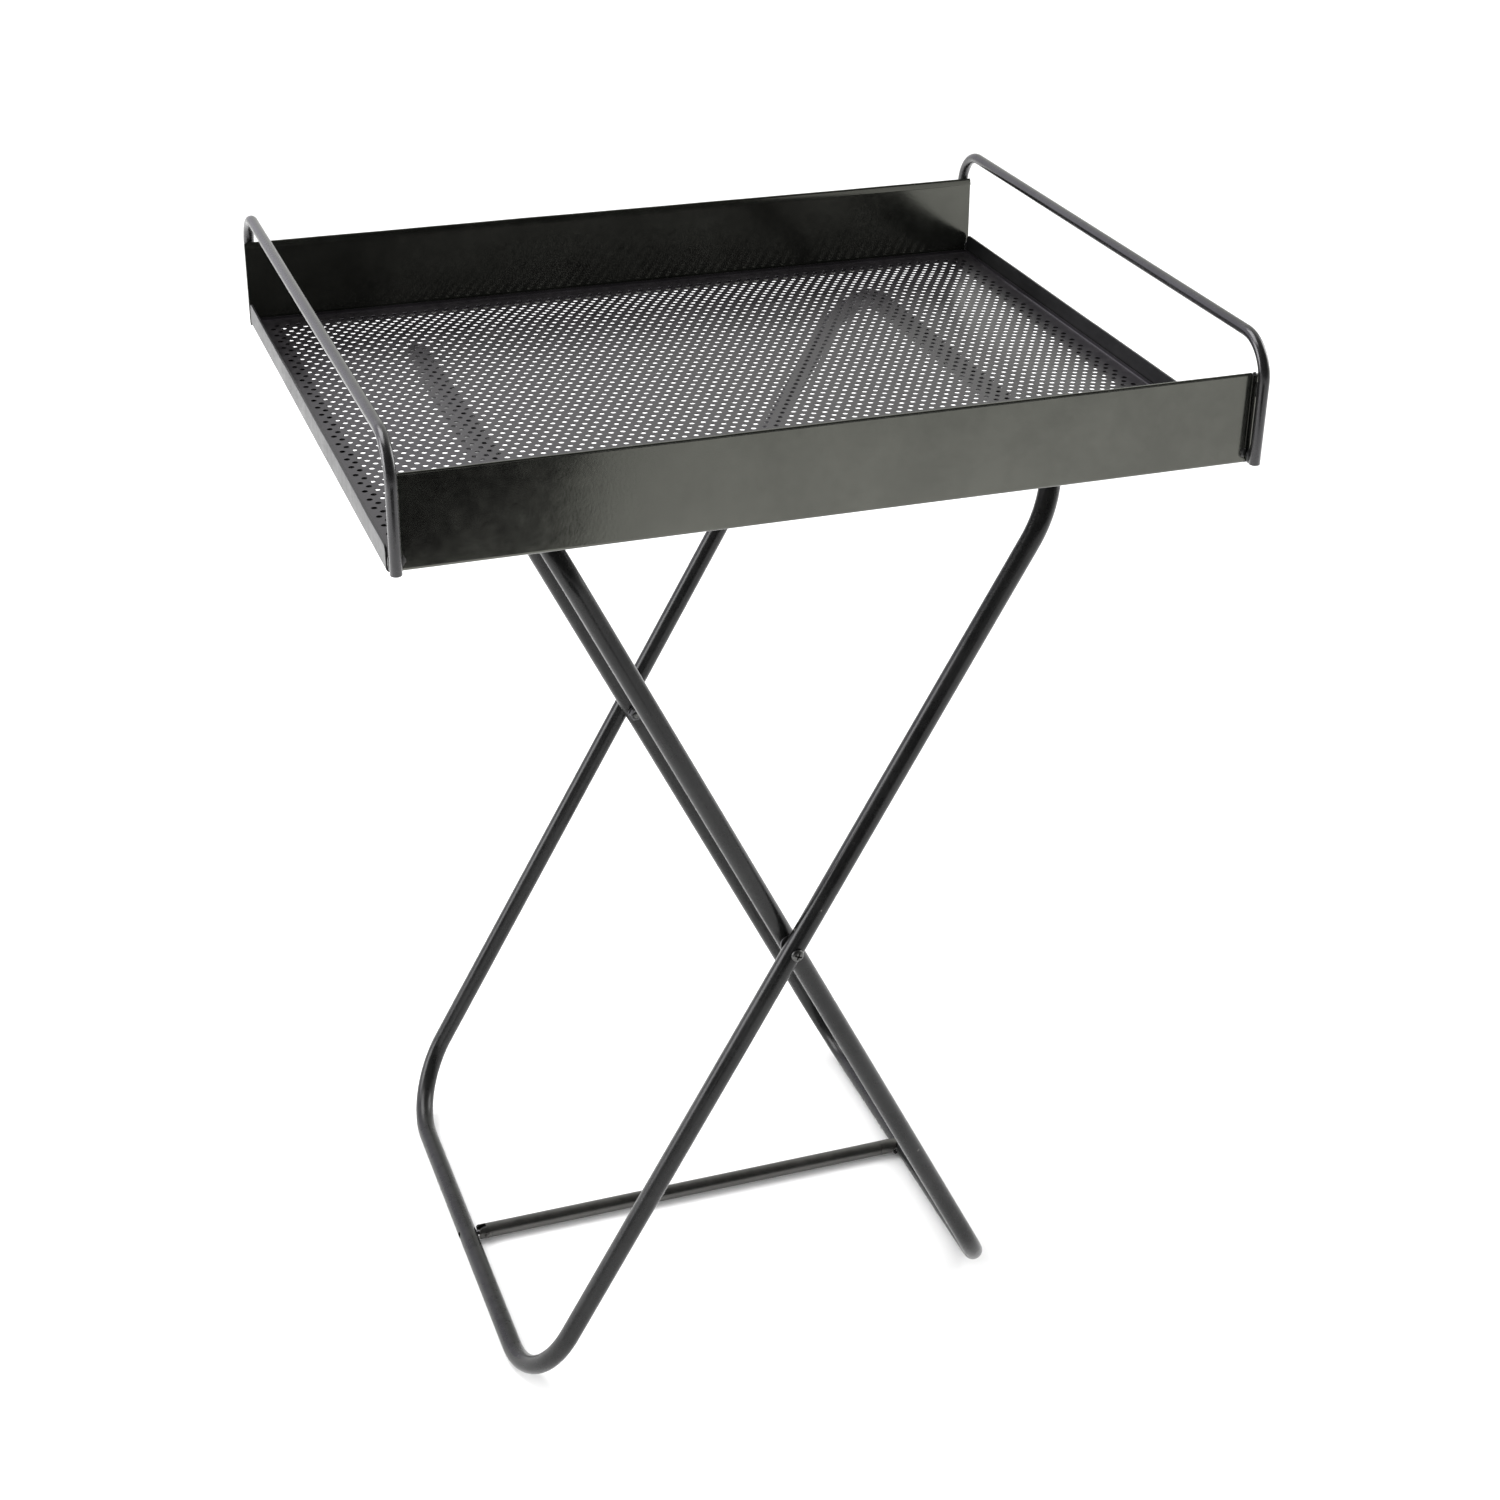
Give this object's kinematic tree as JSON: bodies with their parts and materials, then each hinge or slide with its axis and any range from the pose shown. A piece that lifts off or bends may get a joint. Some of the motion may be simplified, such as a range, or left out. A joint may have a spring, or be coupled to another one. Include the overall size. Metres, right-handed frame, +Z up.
{
  "type": "folding side table",
  "caption": "Small black steel side table: a mesh-floored tray with rod carry handles resting on a folding stand of crossed tube loops.",
  "frame": {"origin": "on the floor, under the middle of the tray", "axes": "+X along the long side of the tray towards the right-hand handle, +Y from the front panel to the back panel, +Z up"},
  "size_m": [0.457, 0.3828, 0.6246],
  "materials": {
    "panel_paint": "satin",
    "mesh_paint": "satin",
    "tube_paint": "satin",
    "zinc_steel": "satin",
    "dark_steel": "satin"
  },
  "bodies": {
    "frame_a": {"frame_a_loop": "tube_paint", "frame_a_ferrule": "dark_steel", "pivot_screw_front": "zinc_steel", "pivot_screw_back": "zinc_steel", "pivot_spacer_front": "zinc_steel", "pivot_spacer_back": "zinc_steel", "pivot_washer_front": "zinc_steel", "pivot_washer_back": "zinc_steel", "pivot_nut_front": "zinc_steel", "pivot_nut_back": "zinc_steel", "stay_eye_bolt": "dark_steel", "stay_eye_collar": "dark_steel"},
    "frame_b": {"frame_b_loop": "tube_paint", "frame_b_ferrule": "dark_steel", "stay_stud": "dark_steel", "stay_lug": "tube_paint"},
    "stay": {"stay_tube": "tube_paint", "stay_rivet": "zinc_steel", "stay_end": "tube_paint"},
    "tray": {"front_panel": "panel_paint", "back_panel": "panel_paint", "lip_left": "panel_paint", "lip_right": "panel_paint", "tray_floor": "mesh_paint", "handle_left": "tube_paint", "handle_right": "tube_paint"}
  },
  "joints": [
    {"name": "frame_fold", "type": "hinge", "parent": "frame_a", "child": "frame_b", "pos_m": [-0.00964, 0, 0.28677], "axis": [0, 1, 0], "range_deg": [0, 50]},
    {"name": "stay_swing", "type": "hinge", "parent": "frame_a", "child": "stay", "pos_m": [-0.153, 0, 0.00575], "axis": [0, -1, 0], "range_deg": [0, 61]},
    {"name": "tray_lift", "type": "slide", "parent": "frame_a", "child": "tray", "axis": [0, 0, 1], "range_m": [0, 0.145]}
  ],
  "couplings": [
    {"joint": "stay_swing", "follows": "frame_fold", "ratio": 1.2},
    {"joint": "tray_lift", "follows": "frame_fold", "m_per_rad": 0.16}
  ]
}
